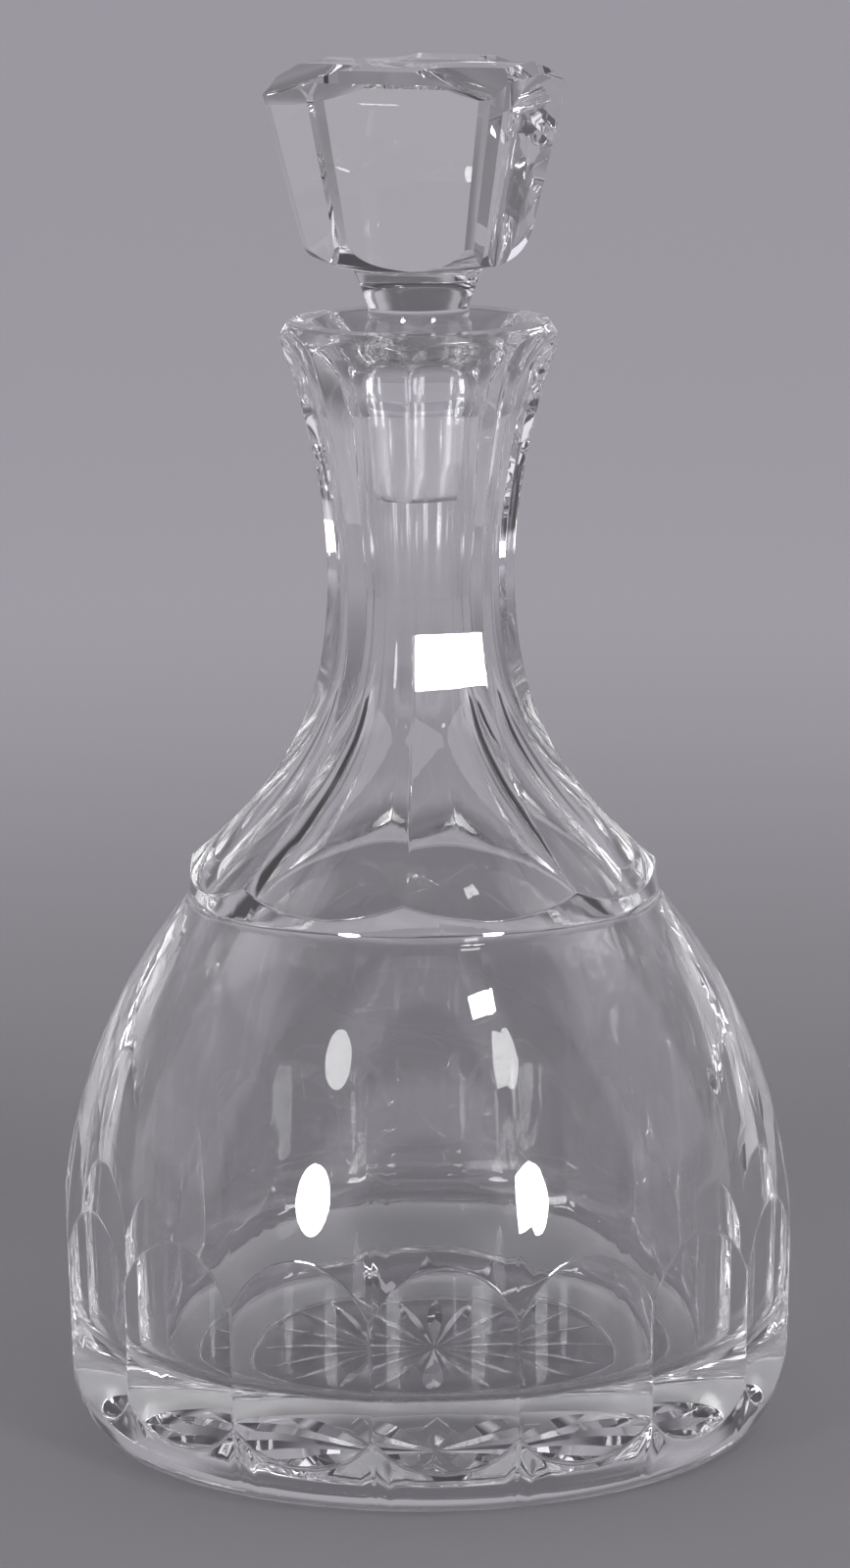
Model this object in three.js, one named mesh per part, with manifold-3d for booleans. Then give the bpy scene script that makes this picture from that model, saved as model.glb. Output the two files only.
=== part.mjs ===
// Cut glass decanter: a hollow bottle and the solid stopper that is ground into its neck.
// Millimetres, +Z up. The bottle stands on Z = 0 and its axis is the Z axis.
// Azimuths are degrees round the axis: 0 faces -Y (the front) and 90 faces +X.
import * as THREE from 'three';
import { mergeVertices } from 'three/addons/utils/BufferGeometryUtils.js';
import Module from 'manifold-3d';

// Body
const BODY_RADIUS = 72;
const BODY_WIDEST_Z = 28;
const HEEL_WIDTH = 10;
const FOOT_OUTER_RADIUS = BODY_RADIUS - HEEL_WIDTH;
const GROOVE_RADIUS = 46.1;
const GROOVE_Z = 105.6;
const BELL_LOW_PULL = 34.9;
const BELL_TOP_PULL_OUT = 16.5;
const BELL_TOP_PULL_DOWN = 20.8;
const KNOB_TOP_RADIUS = GROOVE_RADIUS - 1.1;
const KNOB_TOP_Z = 113.5;

// Foot
const RECESS_RADIUS = 41;
const RECESS_DEPTH = 1.2;
const STAR_RAYS = 16;
const STAR_RADIUS = RECESS_RADIUS - 4;
const STAR_RAY_HALF_WIDTH = 2.7;
const STAR_MITRE_SLOPE = 0.58;
const STAR_AZIMUTH = 0;

// Arched panels round the foot, each ground flat
const PANELS = 16;
const PANEL_EDGE_AZIMUTH = -8.6;
const PANEL_TOP_Z = 50;
const PANEL_TOP_DISTANCE = BODY_RADIUS - 1.4;
const PANEL_BOTTOM_Z = 9.7;
const PANEL_BOTTOM_DISTANCE = BODY_RADIUS - 2.5;

// Neck flutes: distance of the middle of a flute from the axis at its end, waist and lip
const FLUTES = 8;
const FLUTE_EDGE_AZIMUTH = -4.85;
const FLUTE_END_DISTANCE = GROOVE_RADIUS - 0.5;
const FLUTE_END_Z = 109.4;
const WAIST_DISTANCE = 16.65;
const WAIST_Z = 168;
const FLUTE_LIP_DISTANCE = 26;
const FLUTE_LIP_Z = 216.5;
const NECK_BLANK_LINE = [
  [33, 126],
  [25, 142],
  [22, 160],
  [22, 184],
];

// Lip and mouth
const LIP_RADIUS = 26.7;
const LIP_Z = 215.2;
const LIP_UNDER_RADIUS = LIP_RADIUS - 0.5;
const LIP_UNDER_Z = 211;
const RIM_OUTER_RADIUS = LIP_RADIUS - 1.5;
const RIM_WIDTH = 5;
const RIM_INNER_RADIUS = RIM_OUTER_RADIUS - RIM_WIDTH;
const RIM_Z = 217.7;

// Throat of the mouth, and the ground bore of the neck below it
const THROAT_Z = 207;
const THROAT_RADIUS = 11.3;
const BORE_TOP_Z = 201.5;
const BORE_TOP_RADIUS = 9.9;
const BORE_END_Z = 165.5;
const BORE_END_RADIUS = 8.1;

// Inside of the bottle from the bore down to the floor: share of the greatest radius, and height
const WALL = 16.8;
const FLOOR_Z = 20;
const FLOOR_RADIUS = 49.5;
const CAVITY_LINE = [
  [0.161, 154],
  [0.207, 142.5],
  [0.312, 132.5],
  [0.449, 123],
  [0.595, 114],
  [0.733, 103.5],
  [0.852, 91],
  [0.938, 77],
  [0.989, 61],
  [1, 46],
  [0.998, 34],
  [0.995, 25],
];

// Stopper
const FIT_GAP = 0.3;
const PLUG_END_Z = 184.6;
const PLUG_END_CHAMFER = 0.8;
const PLUG_TOP_Z = 216;
const STEM_RADIUS = 9.7;
const STEM_TOP_Z = 220.5;
const HEAD_TURN = 24;
const HEAD_EDGE_Z = 264.6;
const HEAD_TOP_Z = 266.8;
const HEAD_FACE_TOP = 23.4;
const HEAD_FACE_SLOPE = 0.194;
const HEAD_CORNER_TOP = 31.8;
const HEAD_CORNER_SLOPE = 0.264;
const HEAD_PLATEAU_FACE = HEAD_FACE_TOP - 2.6;
const HEAD_PLATEAU_CORNER = HEAD_CORNER_TOP - 3.4;
const THUMB_RADIUS = 25;
const THUMB_START = 13.5;
const THUMB_SLOPE = 0.27;
const UNDERSIDE_LINE = [
  [10.7, 223.2],
  [12, 226.6],
  [13.4, 228.1],
  [17, 228.9],
  [20.3, 230.2],
  [23, 232.6],
  [25.2, 236.5],
];

// Facets of the curved surfaces
const PANEL_FACETS = 6;
const OUTSIDE_SEGMENTS = PANELS * PANEL_FACETS;
const INSIDE_SEGMENTS = 48;
const STEM_SEGMENTS = 40;
const THUMB_SEGMENTS = 64;

const wasm = await Module();
wasm.setup();

// A closed three.js geometry as a solid that can be cut and joined.
function solidOf(geometry) {
  const bare = geometry.index ? geometry.toNonIndexed() : geometry.clone();
  bare.deleteAttribute('normal');
  bare.deleteAttribute('uv');
  const merged = mergeVertices(bare, 1e-4);
  const mesh = new wasm.Mesh({
    numProp: 3,
    vertProperties: new Float32Array(merged.attributes.position.array),
    triVerts: new Uint32Array(merged.index.array),
  });
  return new wasm.Manifold(mesh);
}

function meshOf(solid, name, material) {
  const made = solid.getMesh();
  const geometry = new THREE.BufferGeometry();
  geometry.setAttribute('position', new THREE.BufferAttribute(made.vertProperties, 3));
  geometry.setIndex(new THREE.BufferAttribute(made.triVerts, 1));
  const flat = geometry.toNonIndexed();
  flat.computeVertexNormals();
  const mesh = new THREE.Mesh(flat, material);
  mesh.name = name;
  return mesh;
}

// Turns an outline of (radius, height) points round the Z axis.
function turned(points, segments) {
  return new THREE.LatheGeometry(points, segments).rotateX(Math.PI / 2);
}

function smoothLine(pairs, count) {
  const through = pairs.map(([radius, z]) => new THREE.Vector2(radius, z));
  return new THREE.SplineCurve(through).getPoints(count);
}

// Turns a geometry drawn towards +X so that it points at an azimuth.
function faceAzimuth(geometry, azimuth) {
  return geometry.rotateZ(THREE.MathUtils.degToRad(azimuth - 90));
}

// A wheel cut: an outline of (distance, height) points carried straight across the glass.
function wheelCut(outline, width, azimuth) {
  const shape = new THREE.Shape(outline);
  const cut = new THREE.ExtrudeGeometry(shape, { depth: width, bevelEnabled: false });
  cut.translate(0, 0, -width / 2);
  cut.rotateX(Math.PI / 2);
  return faceAzimuth(cut, azimuth);
}

// A solid through rings of points, each ring with the same number, capped at both ends.
function loft(rings) {
  const count = rings[0].length;
  const corners = rings.flat();
  const faces = [];
  for (let ring = 0; ring + 1 < rings.length; ring++) {
    for (let i = 0; i < count; i++) {
      const a = ring * count + i;
      const b = ring * count + ((i + 1) % count);
      faces.push(a, b, b + count, a, b + count, a + count);
    }
  }
  const last = (rings.length - 1) * count;
  for (let i = 1; i + 1 < count; i++) {
    faces.push(0, i + 1, i);
    faces.push(last, last + i, last + i + 1);
  }
  const geometry = new THREE.BufferGeometry().setFromPoints(corners);
  geometry.setIndex(faces);
  return geometry;
}

// Rounded heel from the foot ring up to the widest part.
function heelLine() {
  const heel = new THREE.EllipseCurve(
    FOOT_OUTER_RADIUS, BODY_WIDEST_Z,
    HEEL_WIDTH, BODY_WIDEST_Z,
    -Math.PI / 2, 0,
  );
  return heel.getPoints(9);
}

// Bell of the body from the widest part up to the groove under the knob.
function bellLine() {
  const bell = new THREE.CubicBezierCurve(
    new THREE.Vector2(BODY_RADIUS, BODY_WIDEST_Z),
    new THREE.Vector2(BODY_RADIUS, BODY_WIDEST_Z + BELL_LOW_PULL),
    new THREE.Vector2(GROOVE_RADIUS + BELL_TOP_PULL_OUT, GROOVE_Z - BELL_TOP_PULL_DOWN),
    new THREE.Vector2(GROOVE_RADIUS, GROOVE_Z),
  );
  return bell.getPoints(15).slice(1);
}

// The outside of the blank before it is cut, as an outline that starts and ends on the axis.
function outsideOutline() {
  const p = (radius, z) => new THREE.Vector2(radius, z);
  const foot = [p(0, RECESS_DEPTH), p(RECESS_RADIUS - RECESS_DEPTH, RECESS_DEPTH), p(RECESS_RADIUS, 0)];
  const knob = [p(GROOVE_RADIUS - 0.4, GROOVE_Z + 1), p(KNOB_TOP_RADIUS, KNOB_TOP_Z)];
  const neck = NECK_BLANK_LINE.map(([radius, z]) => p(radius, z));
  const lip = [p(LIP_UNDER_RADIUS, LIP_UNDER_Z), p(LIP_RADIUS, LIP_Z)];
  const rim = [p(RIM_OUTER_RADIUS, RIM_Z), p(0, RIM_Z)];
  return [...foot, ...heelLine(), ...bellLine(), ...knob, ...neck, ...lip, ...rim];
}

// The hollow: floor, cavity, ground bore and funnel mouth.
function insideOutline() {
  const p = (radius, z) => new THREE.Vector2(radius, z);
  const greatest = BODY_RADIUS - WALL;
  const shoulderDown = CAVITY_LINE.map(([share, z]) => [share * greatest, z]);
  const cavity = smoothLine([[BORE_END_RADIUS, BORE_END_Z], ...shoulderDown], 26);
  const lowest = cavity.at(-1);
  const corner = new THREE.QuadraticBezierCurve(
    lowest, p(lowest.x - 0.4, FLOOR_Z), p(FLOOR_RADIUS, FLOOR_Z),
  );
  const throat = new THREE.QuadraticBezierCurve(
    p(BORE_TOP_RADIUS, BORE_TOP_Z), p(THROAT_RADIUS, THROAT_Z - 3), p(THROAT_RADIUS, THROAT_Z),
  );
  const mouth = new THREE.CubicBezierCurve(
    p(THROAT_RADIUS, THROAT_Z),
    p(THROAT_RADIUS + 0.9, THROAT_Z + 6),
    p(RIM_INNER_RADIUS - 3, RIM_Z - 3.1),
    p(RIM_INNER_RADIUS, RIM_Z),
  );
  const above = RIM_Z + 1;
  return [
    p(0, FLOOR_Z), ...corner.getPoints(5).reverse(), ...cavity.reverse().slice(1),
    ...throat.getPoints(3), ...mouth.getPoints(8).slice(1), p(RIM_INNER_RADIUS, above), p(0, above),
  ];
}

// Panel wheel: a flat face that leans out a little from the heel up.
function panelCutOutline() {
  const lean = (PANEL_TOP_DISTANCE - PANEL_BOTTOM_DISTANCE) / (PANEL_TOP_Z - PANEL_BOTTOM_Z);
  const reach = 6;
  const outside = BODY_RADIUS + 10;
  return [
    new THREE.Vector2(PANEL_BOTTOM_DISTANCE - lean * reach, PANEL_BOTTOM_Z - reach),
    new THREE.Vector2(outside, PANEL_BOTTOM_Z - reach),
    new THREE.Vector2(outside, PANEL_TOP_Z + reach),
    new THREE.Vector2(PANEL_TOP_DISTANCE + lean * reach, PANEL_TOP_Z + reach),
  ];
}

// Flute wheel: sweeps up from the scoop at the shoulder, past the waist, to the lip.
function fluteCutOutline() {
  const p = (distance, z) => new THREE.Vector2(distance, z);
  const scoop = new THREE.CubicBezierCurve(
    p(FLUTE_END_DISTANCE, FLUTE_END_Z),
    p(FLUTE_END_DISTANCE - 15.6, FLUTE_END_Z + 13.9),
    p(WAIST_DISTANCE, WAIST_Z - 32.5),
    p(WAIST_DISTANCE, WAIST_Z),
  );
  const flare = new THREE.CubicBezierCurve(
    p(WAIST_DISTANCE, WAIST_Z),
    p(WAIST_DISTANCE, WAIST_Z + 15),
    p(FLUTE_LIP_DISTANCE - 5.8, FLUTE_LIP_Z - 14),
    p(FLUTE_LIP_DISTANCE, FLUTE_LIP_Z),
  );
  const outside = KNOB_TOP_RADIUS + 15;
  return [
    ...scoop.getPoints(18), ...flare.getPoints(11).slice(1),
    p(outside, FLUTE_LIP_Z), p(outside, FLUTE_END_Z),
  ];
}

// One ray of the star: a V groove that is widest past its middle and runs out at both ends.
function starRay(azimuth) {
  const below = 0.8;
  const rings = [];
  for (let i = 0; i <= 8; i++) {
    const along = i / 8;
    const opening = Math.sin(Math.PI * along ** 1.35);
    const depth = STAR_RAY_HALF_WIDTH * STAR_MITRE_SLOPE * Math.max(opening, 0) - 0.02;
    const halfWidth = (depth + below) / STAR_MITRE_SLOPE;
    const x = 0.2 + along * STAR_RADIUS;
    rings.push([
      new THREE.Vector3(x, -halfWidth, RECESS_DEPTH - below),
      new THREE.Vector3(x, halfWidth, RECESS_DEPTH - below),
      new THREE.Vector3(x, 0, RECESS_DEPTH + depth),
    ]);
  }
  return faceAzimuth(loft(rings), azimuth);
}

function makeBottle() {
  const cuts = [];
  for (let i = 0; i < FLUTES; i++) {
    const azimuth = FLUTE_EDGE_AZIMUTH + (360 / FLUTES) * (i + 0.5);
    cuts.push(wheelCut(fluteCutOutline(), KNOB_TOP_RADIUS + 7, azimuth));
  }
  for (let i = 0; i < PANELS; i++) {
    const azimuth = PANEL_EDGE_AZIMUTH + (360 / PANELS) * (i + 0.5);
    cuts.push(wheelCut(panelCutOutline(), BODY_RADIUS / 2, azimuth));
  }
  for (let i = 0; i < STAR_RAYS; i++) {
    cuts.push(starRay(STAR_AZIMUTH + (360 / STAR_RAYS) * i));
  }
  const blank = turned(outsideOutline(), OUTSIDE_SEGMENTS);
  blank.rotateZ(THREE.MathUtils.degToRad(PANEL_EDGE_AZIMUTH));
  cuts.push(turned(insideOutline(), INSIDE_SEGMENTS));
  return cuts.reduce((body, cut) => body.subtract(solidOf(cut)), solidOf(blank));
}

// An eight-cornered ring: four broad faces at one distance and four corner facets at another.
function headRing(z, face, corner) {
  const along = corner * Math.SQRT2 - face;
  const ring = [];
  for (let i = 0; i < 4; i++) {
    const turn = THREE.MathUtils.degToRad(HEAD_TURN - 90 + 45 + 90 * i);
    for (const side of [-along, along]) {
      const x = face * Math.cos(turn) - side * Math.sin(turn);
      const y = face * Math.sin(turn) + side * Math.cos(turn);
      ring.push(new THREE.Vector3(x, y, z));
    }
  }
  return ring;
}

function headBlock() {
  const drop = HEAD_EDGE_Z - STEM_TOP_Z;
  const lowFace = HEAD_FACE_TOP - HEAD_FACE_SLOPE * drop;
  const lowCorner = HEAD_CORNER_TOP - HEAD_CORNER_SLOPE * drop;
  return loft([
    headRing(STEM_TOP_Z, lowFace, lowCorner),
    headRing(HEAD_EDGE_Z, HEAD_FACE_TOP, HEAD_CORNER_TOP),
    headRing(HEAD_TOP_Z, HEAD_PLATEAU_FACE, HEAD_PLATEAU_CORNER),
  ]);
}

// The turned blank of the head, whose rounded underside runs into the stem.
function headBlankOutline() {
  const underside = smoothLine([[STEM_RADIUS, STEM_TOP_Z], ...UNDERSIDE_LINE], 14);
  return [
    new THREE.Vector2(0, STEM_TOP_Z),
    ...underside,
    new THREE.Vector2(HEAD_CORNER_TOP + 3, HEAD_EDGE_Z - 10),
    new THREE.Vector2(HEAD_CORNER_TOP + 3, HEAD_TOP_Z + 2),
    new THREE.Vector2(0, HEAD_TOP_Z + 2),
  ];
}

// A long thumb cut that slopes down from the top face to one corner.
function thumbCut(azimuth) {
  const length = 60;
  const barrel = new THREE.CylinderGeometry(THUMB_RADIUS, THUMB_RADIUS, length, THUMB_SEGMENTS);
  barrel.rotateZ(Math.PI / 2);
  barrel.translate(length / 2 - 20, 0, THUMB_RADIUS);
  barrel.rotateY(Math.atan(THUMB_SLOPE));
  barrel.translate(THUMB_START, 0, HEAD_TOP_Z);
  return faceAzimuth(barrel, azimuth);
}

function plugRadius(z) {
  const share = (z - BORE_END_Z) / (BORE_TOP_Z - BORE_END_Z);
  return BORE_END_RADIUS + (BORE_TOP_RADIUS - BORE_END_RADIUS) * share - FIT_GAP;
}

function stemOutline() {
  const endRadius = plugRadius(PLUG_END_Z);
  return [
    new THREE.Vector2(0, PLUG_END_Z),
    new THREE.Vector2(endRadius - PLUG_END_CHAMFER, PLUG_END_Z),
    new THREE.Vector2(endRadius, PLUG_END_Z + PLUG_END_CHAMFER),
    new THREE.Vector2(plugRadius(PLUG_TOP_Z), PLUG_TOP_Z),
    new THREE.Vector2(STEM_RADIUS, PLUG_TOP_Z + 2),
    new THREE.Vector2(STEM_RADIUS, STEM_TOP_Z + 0.5),
    new THREE.Vector2(0, STEM_TOP_Z + 0.5),
  ];
}

function makeStopper() {
  const blank = solidOf(turned(headBlankOutline(), STEM_SEGMENTS));
  const block = solidOf(headBlock());
  let head = blank.intersect(block);
  for (let i = 0; i < 4; i++) {
    head = head.subtract(solidOf(thumbCut(HEAD_TURN + 90 * i)));
  }
  const stem = solidOf(turned(stemOutline(), STEM_SEGMENTS));
  return head.add(stem);
}

const bottleGlass = new THREE.MeshStandardMaterial({ color: 0xdde1e6, roughness: 0.04, metalness: 0 });
const stopperGlass = new THREE.MeshStandardMaterial({ color: 0xe2e5ea, roughness: 0.05, metalness: 0 });

const decanter = new THREE.Group();
decanter.add(meshOf(makeBottle(), 'bottle', bottleGlass));
decanter.add(meshOf(makeStopper(), 'stopper', stopperGlass));

export default decanter;
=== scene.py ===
import math

import bmesh
import bpy
import numpy as np
from mathutils import Matrix, Vector


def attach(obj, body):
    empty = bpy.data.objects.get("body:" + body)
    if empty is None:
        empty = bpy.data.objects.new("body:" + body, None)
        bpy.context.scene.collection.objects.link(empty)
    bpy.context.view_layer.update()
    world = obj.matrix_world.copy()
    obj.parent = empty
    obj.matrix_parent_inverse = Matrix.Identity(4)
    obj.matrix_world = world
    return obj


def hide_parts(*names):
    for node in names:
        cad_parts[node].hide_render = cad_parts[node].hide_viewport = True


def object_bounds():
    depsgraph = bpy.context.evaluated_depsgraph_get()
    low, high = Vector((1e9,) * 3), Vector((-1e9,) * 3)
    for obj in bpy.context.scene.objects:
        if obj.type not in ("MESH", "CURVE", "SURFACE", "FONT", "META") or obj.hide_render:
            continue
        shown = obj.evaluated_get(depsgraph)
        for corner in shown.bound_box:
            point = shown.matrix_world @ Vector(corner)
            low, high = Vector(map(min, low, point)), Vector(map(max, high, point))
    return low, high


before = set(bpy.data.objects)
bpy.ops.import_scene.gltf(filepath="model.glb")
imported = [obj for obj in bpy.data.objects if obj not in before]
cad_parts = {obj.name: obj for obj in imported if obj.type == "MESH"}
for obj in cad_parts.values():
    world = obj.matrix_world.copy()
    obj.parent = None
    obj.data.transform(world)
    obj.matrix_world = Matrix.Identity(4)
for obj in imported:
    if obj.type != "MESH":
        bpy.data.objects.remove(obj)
cad_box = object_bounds()

# Camera: a long lens a little over a metre away, above the stopper and tilted down, with the
# slight roll that leans the decanter to the left. Its angles are in degrees, its place in metres.
LENS_LENGTH = 145.1
CAMERA_PLACE = (0, -1.2025, 0.3679)
TILT_DOWN, TURN_ASIDE, ROLL = 11.32, -0.022, -0.5
FARTHEST_SEEN = 20

scene = bpy.context.scene
scene.view_settings.view_transform = "Standard"
camera_data = bpy.data.cameras.new("Camera")
camera_data.lens = LENS_LENGTH
camera_data.clip_end = FARTHEST_SEEN
camera = bpy.data.objects.new("Camera", camera_data)
scene.collection.objects.link(camera)
tilt = Matrix.Rotation(math.radians(90 - TILT_DOWN), 4, "X")
turn_aside = Matrix.Rotation(math.radians(TURN_ASIDE), 4, "Z")
roll = Matrix.Rotation(math.radians(ROLL), 4, "Z")
camera.matrix_world = Matrix.Translation(CAMERA_PLACE) @ turn_aside @ tilt @ roll
scene.camera = camera
# Light is turned back many times inside thick cut glass, so the ray limits are raised for it.
scene.cycles.max_bounces = 40
scene.cycles.glossy_bounces = 32
scene.cycles.transmission_bounces = 40
scene.cycles.transparent_max_bounces = 32

# Floor: one wide round sheet of matt paper. Shade is painted into it round the decanter, where it is greyer,
# and it is paler further off, so that it is its own backdrop from every side. It also takes the rendered
# shadow.
SHEET_RINGS = (0.1, 0.3, 0.8, 2.0, 6.0)
SHEET_SPOKES = 96
SHEET_Z = -0.0002
# Painted shade round the decanter: the paper is grey out to the first distance and pale from the second on,
# in metres. The grey colour is the painted shade, and the pale one is the paper's own.
PAINTED_SHADE_UP_TO, PALE_FROM = 0.12, 1.0
PAINTED_SHADE_PAPER = (0.18, 0.172, 0.188, 1)
PALE_PAPER = (0.4, 0.378, 0.42, 1)

sheet_points = [(0.0, 0.0, SHEET_Z)]
sheet_faces = []
for ring, sheet_radius in enumerate(SHEET_RINGS):
    for spoke in range(SHEET_SPOKES):
        angle = math.tau * spoke / SHEET_SPOKES
        sheet_points.append((sheet_radius * math.cos(angle), sheet_radius * math.sin(angle), SHEET_Z))
        here = 1 + ring * SHEET_SPOKES + spoke
        beside = 1 + ring * SHEET_SPOKES + (spoke + 1) % SHEET_SPOKES
        if ring == 0:
            sheet_faces.append((0, here, beside))
        else:
            sheet_faces.append((here - SHEET_SPOKES, here, beside, beside - SHEET_SPOKES))
sheet_mesh = bpy.data.meshes.new("Floor")
sheet_mesh.from_pydata(sheet_points, [], sheet_faces)
floor = bpy.data.objects.new("Floor", sheet_mesh)
scene.collection.objects.link(floor)

paper = bpy.data.materials.new("Floor paper")
paper.use_nodes = True
paper_nodes = paper.node_tree.nodes
paper_links = paper.node_tree.links
paper_shader = paper_nodes["Principled BSDF"]
paper_shader.inputs["Roughness"].default_value = 0.9
paper_shader.inputs["Specular IOR Level"].default_value = 0.1
place_on_sheet = paper_nodes.new("ShaderNodeTexCoord")
from_middle = paper_nodes.new("ShaderNodeVectorMath")
from_middle.operation = "LENGTH"
paper_links.new(place_on_sheet.outputs["Object"], from_middle.inputs[0])
# The ramp paints shade into the paper round the decanter and fades it out to the even pale paper further
# off.
shade = paper_nodes.new("ShaderNodeValToRGB")
shade.color_ramp.interpolation = "EASE"
shade.color_ramp.elements[0].position = PAINTED_SHADE_UP_TO
shade.color_ramp.elements[0].color = PAINTED_SHADE_PAPER
shade.color_ramp.elements[1].position = PALE_FROM
shade.color_ramp.elements[1].color = PALE_PAPER
paper_links.new(from_middle.outputs["Value"], shade.inputs["Fac"])
paper_links.new(shade.outputs["Color"], paper_shader.inputs["Base Color"])
floor.data.materials.append(paper)

# Studio light: two oval soft boxes beside the camera and a small oblong one higher up, each
# aimed at the decanter's shoulder.
LIT_POINT = Vector((0, 0, 0.1))
BEAM_SPREAD = 70


def soft_box(name, shape, azimuth, elevation, distance, width, height, power):
    """A soft box with its angles in degrees, its distance and size in metres, its power in watts."""
    lamp = bpy.data.lights.new(name, "AREA")
    lamp.shape = shape
    lamp.size = width
    lamp.size_y = height
    lamp.energy = power
    lamp.spread = math.radians(BEAM_SPREAD)
    box = bpy.data.objects.new(name, lamp)
    scene.collection.objects.link(box)
    around, up = math.radians(azimuth), math.radians(elevation)
    out = Vector((math.sin(around) * math.cos(up), -math.cos(around) * math.cos(up), math.sin(up)))
    box.location = LIT_POINT + out * distance
    box.rotation_euler = out.to_track_quat("Z", "Y").to_euler()


for side, azimuth in (("Left", -35.6), ("Right", 33.5)):
    soft_box(side + " soft box", "ELLIPSE", azimuth, 8.5, distance=1.2, width=0.23, height=0.3, power=1.1)
soft_box("Upper soft box", "RECTANGLE", 30, 50, distance=1.3, width=0.2, height=0.1, power=0.4)

# Room: matt things are lit evenly by it, and the camera sees it as pale as the floor. The glass
# shows what stands round a table in a studio: from front to back a dark room, light panels at
# both sides, dark gaps beside them and a pale backdrop, with a dark ceiling and a pale floor.
# The walls' brightness is given from the front, at 0, to the back, at 1. The rises are where one
# thing gives way to the next, as heights or depths of the direction that is looked in.
WALL_LEVELS = [(0.0, 0.04), (0.04, 0.05), (0.06, 0.9), (0.1, 0.9), (0.14, 0.05), (0.32, 0.05),
               (0.36, 1.0), (0.62, 1.0), (0.67, 0.06), (0.78, 0.06), (0.83, 0.4), (1.0, 0.4)]
WALL_GREEN, WALL_BLUE = 0.96, 1.04
CEILING_RISE = (0.62, 0.78)
BACKDROP_TOP_RISE = (0.15, 0.27)
BACKDROP_SIDE_RISE = (0.76, 0.86)
FLOOR_RISE = (0.13, 0.07)
OVER_BACKDROP_COLOUR = (0.15, 0.145, 0.157, 1)
FAR_FLOOR_COLOUR = (0.42, 0.4, 0.44, 1)
CEILING_COLOUR = (0.06, 0.058, 0.063, 1)
EVEN_LIGHT = (0.85, 0.85, 0.85, 1)
# A Mix node has sockets for numbers, vectors and colours. These are its colour sockets.
MIX_FIRST, MIX_SECOND, MIX_RESULT = 6, 7, 2

room = bpy.data.worlds.new("Room")
scene.world = room
room.use_nodes = True
room_nodes = room.node_tree.nodes
room_links = room.node_tree.links


def rise(value, low, high):
    """Rises smoothly from 0 to 1 while the value goes from low to high."""
    made = room_nodes.new("ShaderNodeMapRange")
    made.interpolation_type = "SMOOTHSTEP"
    made.inputs["From Min"].default_value = low
    made.inputs["From Max"].default_value = high
    room_links.new(value, made.inputs["Value"])
    return made.outputs["Result"]


def blend(factor, first, second):
    """Goes from the first colour to the second, a fixed one, as the factor rises."""
    made = room_nodes.new("ShaderNodeMix")
    made.data_type = "RGBA"
    made.inputs[MIX_SECOND].default_value = second
    room_links.new(factor, made.inputs["Factor"])
    room_links.new(first, made.inputs[MIX_FIRST])
    return made.outputs[MIX_RESULT]


direction = room_nodes.new("ShaderNodeTexCoord")
direction_parts = room_nodes.new("ShaderNodeSeparateXYZ")
room_links.new(direction.outputs["Generated"], direction_parts.inputs[0])
front_to_back = room_nodes.new("ShaderNodeMapRange")
front_to_back.inputs["From Min"].default_value = -1.0
front_to_back.inputs["From Max"].default_value = 1.0
room_links.new(direction_parts.outputs["Y"], front_to_back.inputs["Value"])
walls = room_nodes.new("ShaderNodeValToRGB")
walls.color_ramp.interpolation = "EASE"
for position, level in WALL_LEVELS[1:-1]:
    walls.color_ramp.elements.new(position)
for stop, (position, level) in zip(walls.color_ramp.elements, WALL_LEVELS):
    stop.position = position
    stop.color = (level, level * WALL_GREEN, level * WALL_BLUE, 1)
room_links.new(front_to_back.outputs["Result"], walls.inputs["Fac"])
over_backdrop = room_nodes.new("ShaderNodeMath")
over_backdrop.operation = "MULTIPLY"
room_links.new(rise(direction_parts.outputs["Z"], *BACKDROP_TOP_RISE), over_backdrop.inputs[0])
room_links.new(rise(direction_parts.outputs["Y"], *BACKDROP_SIDE_RISE), over_backdrop.inputs[1])
far_floor = rise(direction_parts.outputs["Z"], *FLOOR_RISE)
ceiling = rise(direction_parts.outputs["Z"], *CEILING_RISE)
rays = room_nodes.new("ShaderNodeLightPath")
seen = blend(over_backdrop.outputs[0], walls.outputs["Color"], OVER_BACKDROP_COLOUR)
seen = blend(far_floor, seen, FAR_FLOOR_COLOUR)
seen = blend(ceiling, seen, CEILING_COLOUR)
seen = blend(rays.outputs["Is Camera Ray"], seen, PALE_PAPER)
seen = blend(rays.outputs["Is Diffuse Ray"], seen, EVEN_LIGHT)
room_links.new(seen, room_nodes["Background"].inputs["Color"])
room_nodes["Background"].inputs["Strength"].default_value = 1.0

# Bottle: one hollow body of heavy clear lead glass, blown in a mould and cut by hand. Eight long
# flutes are ground up the neck, sixteen flat arched panels round the foot, and a mitre-cut star
# under the base. The neck is ground inside to take the stopper. All sizes are in millimetres.
MM = 0.001
BODY_RADIUS, BODY_WIDEST_Z = 72.0, 28.0
FOOT_RADIUS = 62.0
GROOVE_RADIUS, GROOVE_Z = 46.1, 105.6
KNOB_FOOT_RADIUS, KNOB_FOOT_Z = 45.7, 106.6
KNOB_TOP_RADIUS, KNOB_TOP_Z = 45.0, 113.5
NECK_RADIUS, NECK_Z = 16.65, 168.0
RIM_Z = 217.7
RECESS_RADIUS, RECESS_DEPTH = 41.0, 1.2
STAR_RADIUS, STAR_HALF_WIDTH, STAR_SLOPE = 37.0, 2.7, 0.58
BORE_TOP_RADIUS, BORE_TOP_Z = 9.9, 201.5
BORE_END_RADIUS, BORE_END_Z = 8.1, 165.5
FLOOR_Z = 20.0
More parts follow.
